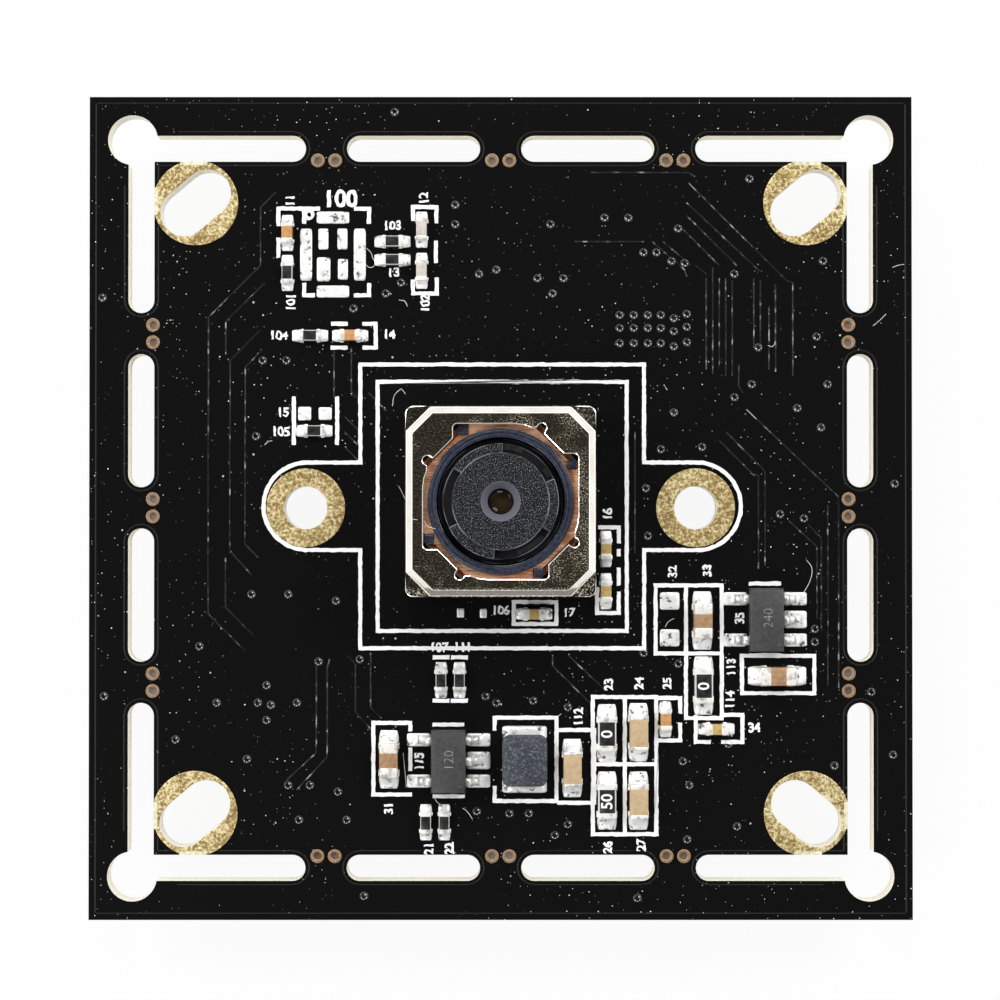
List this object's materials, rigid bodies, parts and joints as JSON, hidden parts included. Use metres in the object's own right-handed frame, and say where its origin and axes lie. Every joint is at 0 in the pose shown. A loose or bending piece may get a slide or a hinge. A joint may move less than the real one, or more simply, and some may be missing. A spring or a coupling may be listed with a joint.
{
  "type": "camera module",
  "caption": "Square autofocus camera board: a small voice-coil lens module in the middle of a black 38 mm circuit board with a break-away frame, and its power parts round it.",
  "frame": {"origin": "middle of the board's back face, halfway between the two screw holes of the lens holder", "axes": "+Z along the lens axis, out of the lens; +Y towards the board's upper edge; +X to the right seen from the front"},
  "size_m": [0.038, 0.038, 0.0094],
  "materials": {
    "solder_mask": "glossy black lacquer over glass-fibre board",
    "gold": "matt electroplated gold over copper",
    "print_ink": "matt white printed ink",
    "solder": "bright tinned solder",
    "silicon": "polished silicon",
    "clear_glass": "polished",
    "filter_glass": "coated, polished",
    "black_plastic": "moulded, matt",
    "nickel_sheet": "drawn sheet, dark and slightly mottled",
    "copper_wire": "enamelled copper winding",
    "magnet": "nickel-plated magnet",
    "carrier_plastic": "moulded, blue-black",
    "copper_spring": "rolled copper alloy, etched",
    "barrel_plastic": "moulded, black, finely sparkling",
    "lens_glass": "coated",
    "tan_ceramic": "fired brown ceramic",
    "black_ceramic": "glazed black over white ceramic",
    "ic_plastic": "moulded epoxy",
    "ferrite": "blue-grey ferrite, speckled",
    "crystal_metal": "plated lid",
    "socket_plastic": "moulded nylon, natural",
    "tin_pins": "tinned"
  },
  "bodies": {
    "board": {"circuit_board": "solder_mask", "gold_plating": "gold", "printed_lines": "print_ink", "solder_joints": "solder", "image_sensor": "silicon", "sensor_cover_glass": "clear_glass", "filter_holder": "black_plastic", "infrared_filter": "filter_glass", "motor_base": "black_plastic", "motor_can": "nickel_sheet", "motor_magnet_1": "magnet", "motor_magnet_2": "magnet", "motor_magnet_3": "magnet", "motor_magnet_4": "magnet", "upper_leaf_spring": "copper_spring", "lower_leaf_spring": "copper_spring", "small_capacitor_1": "tan_ceramic", "small_capacitor_2": "tan_ceramic", "small_capacitor_3": "tan_ceramic", "small_capacitor_4": "tan_ceramic", "small_capacitor_5": "tan_ceramic", "small_capacitor_6": "tan_ceramic", "small_capacitor_7": "tan_ceramic", "small_capacitor_8": "tan_ceramic", "small_capacitor_9": "tan_ceramic", "large_capacitor_1": "tan_ceramic", "large_capacitor_2": "tan_ceramic", "large_capacitor_3": "tan_ceramic", "large_capacitor_4": "tan_ceramic", "large_capacitor_5": "tan_ceramic", "large_capacitor_6": "tan_ceramic", "small_resistor_1": "black_ceramic", "small_resistor_2": "black_ceramic", "small_resistor_3": "black_ceramic", "small_resistor_4": "black_ceramic", "small_resistor_5": "black_ceramic", "small_resistor_6": "black_ceramic", "small_resistor_7": "black_ceramic", "small_resistor_8": "black_ceramic", "small_resistor_9": "black_ceramic", "large_resistor_1": "black_ceramic", "large_resistor_2": "black_ceramic", "large_resistor_3": "black_ceramic", "regulator_1": "ic_plastic", "regulator_2": "ic_plastic", "power_inductor": "ferrite", "image_processor": "ic_plastic", "flash_memory": "ic_plastic", "crystal": "crystal_metal", "cable_socket": "socket_plastic", "socket_pins": "tin_pins"},
    "carriage": {"lens_carrier": "carrier_plastic", "motor_coil": "copper_wire", "lens_barrel": "barrel_plastic", "lens_element_1": "lens_glass", "lens_element_2": "lens_glass", "lens_element_3": "lens_glass", "lens_element_4": "lens_glass", "lens_retaining_ring": "black_plastic"}
  },
  "joints": [
    {"name": "lens_focus", "type": "slide", "parent": "board", "child": "carriage", "axis": [0, 0, 1], "range_m": [0, 0.0003], "stiffness_N_per_m": 40, "springref_m": -0.00015, "deforming": ["upper_leaf_spring", "lower_leaf_spring"]}
  ]
}
